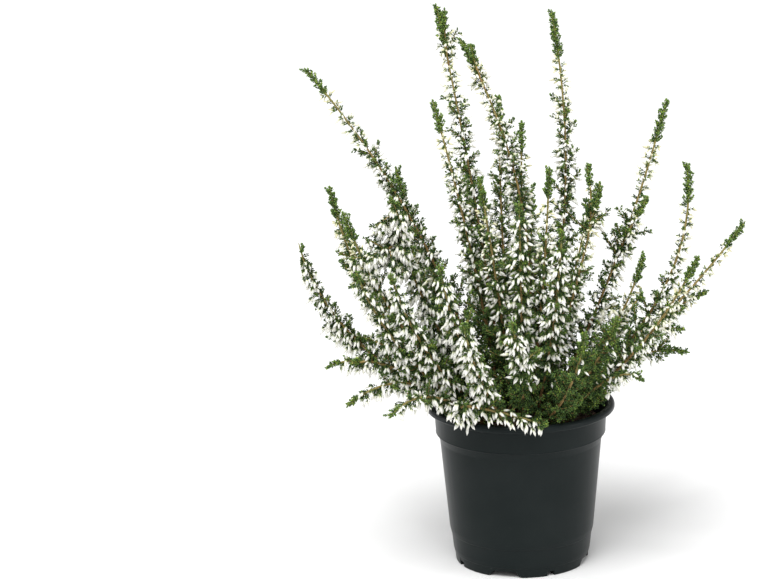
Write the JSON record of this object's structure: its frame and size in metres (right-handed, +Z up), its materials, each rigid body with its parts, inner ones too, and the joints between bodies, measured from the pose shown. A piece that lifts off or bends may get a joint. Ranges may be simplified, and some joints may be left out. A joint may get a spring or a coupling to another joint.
{
  "type": "potted heather",
  "caption": "White-budded heather: thin leafy stems fanning up and over the rim of a round, stepped plastic nursery pot filled with peat.",
  "frame": {"origin": "centre of the pot's base, on the surface that it stands on", "axes": "+Z up along the pot's axis; the plant's front, as in the picture, faces -Y and +X is to its right"},
  "size_m": [0.2821, 0.2552, 0.3586],
  "materials": {
    "pot_plastic": "satin",
    "peat": "matte",
    "heather_foliage": "matte",
    "heather_bark": "matte",
    "heather_buds": "matte"
  },
  "bodies": {
    "root": {"pot": "pot_plastic", "soil": "peat", "stem_tall_left": "heather_foliage", "stem_tall_left_rear": "heather_foliage", "stem_left_centre": "heather_foliage", "stem_high_left": "heather_foliage", "stem_tall_right": "heather_foliage", "stem_right": "heather_foliage", "stem_right_front": "heather_foliage", "stem_far_right": "heather_foliage", "stem_low_right_front": "heather_foliage", "stem_right_rear": "heather_foliage", "stem_curl_right": "heather_foliage", "stem_right_centre": "heather_foliage", "stem_front_centre": "heather_foliage", "stem_rear_centre": "heather_foliage", "stem_centre": "heather_foliage", "stem_front_left_centre": "heather_foliage", "stem_front_spike": "heather_foliage", "stem_front_right_spike": "heather_foliage", "stem_left": "heather_foliage", "stem_left_front": "heather_foliage", "stem_far_left": "heather_foliage", "stem_cluster_left": "heather_foliage", "stem_left_rear": "heather_foliage", "stem_front_left": "heather_foliage", "stem_front_far_left": "heather_foliage", "stem_front_left_spike": "heather_foliage", "stem_front_low_left": "heather_foliage", "stem_front_low": "heather_foliage", "stem_front_low_right": "heather_foliage", "stem_front_right": "heather_foliage", "stem_droop_left": "heather_foliage", "stem_droop_front_left": "heather_foliage", "stem_droop_front": "heather_foliage", "stem_droop_left_rear": "heather_foliage", "stem_over_rim": "heather_foliage", "stem_low_right": "heather_foliage", "stem_tuft_front": "heather_foliage", "stem_tuft_right": "heather_foliage", "stem_rear": "heather_foliage", "stem_rear_right": "heather_foliage", "stem_rear_left": "heather_foliage", "stem_rear_far_left": "heather_foliage", "stem_rear_right_high": "heather_foliage", "stem_rear_far_right": "heather_foliage", "stem_rear_low_right": "heather_foliage", "stem_rear_droop": "heather_foliage", "stem_rear_droop_left": "heather_foliage", "stem_rear_low": "heather_foliage"}
  },
  "joints": []
}
